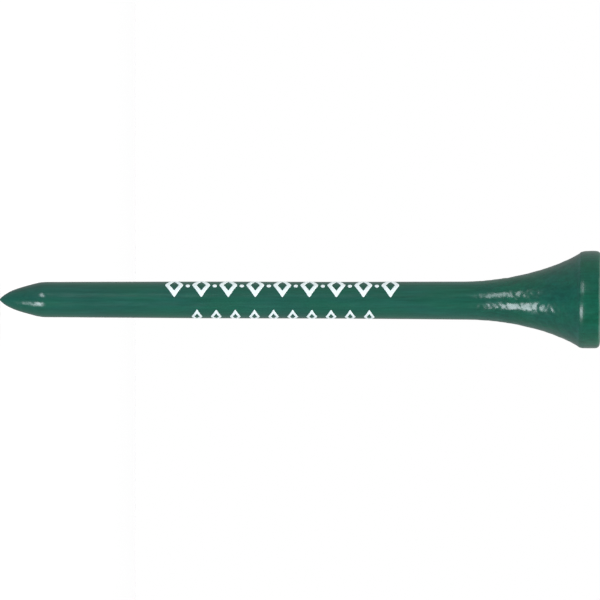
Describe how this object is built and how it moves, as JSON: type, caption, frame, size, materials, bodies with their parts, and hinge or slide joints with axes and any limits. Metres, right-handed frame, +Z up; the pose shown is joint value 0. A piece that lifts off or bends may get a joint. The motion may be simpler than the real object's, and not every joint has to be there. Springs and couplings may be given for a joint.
{
  "type": "golf tee",
  "caption": "Turned wooden peg with a pointed foot, a slim parallel shank and a flared head with a shallow cup that holds a ball, lacquered green with two rows of printed white marks.",
  "frame": {"origin": "the very point of the tee, on its axis", "axes": "+Z runs up the axis of the shank to the cup, -Y is the side with the printed marks"},
  "size_m": [0.0114, 0.0114, 0.0698],
  "materials": {
    "birch_wood": "bare turned birch, under the lacquer",
    "green_lacquer": "glossy dipped lacquer, faint wood grain showing through",
    "white_ink": "opaque printed ink, satin"
  },
  "bodies": {
    "root": {"wood_core": "birch_wood", "lacquer_coat": "green_lacquer", "imprint_upper_row": "white_ink", "imprint_lower_row": "white_ink"}
  },
  "joints": []
}
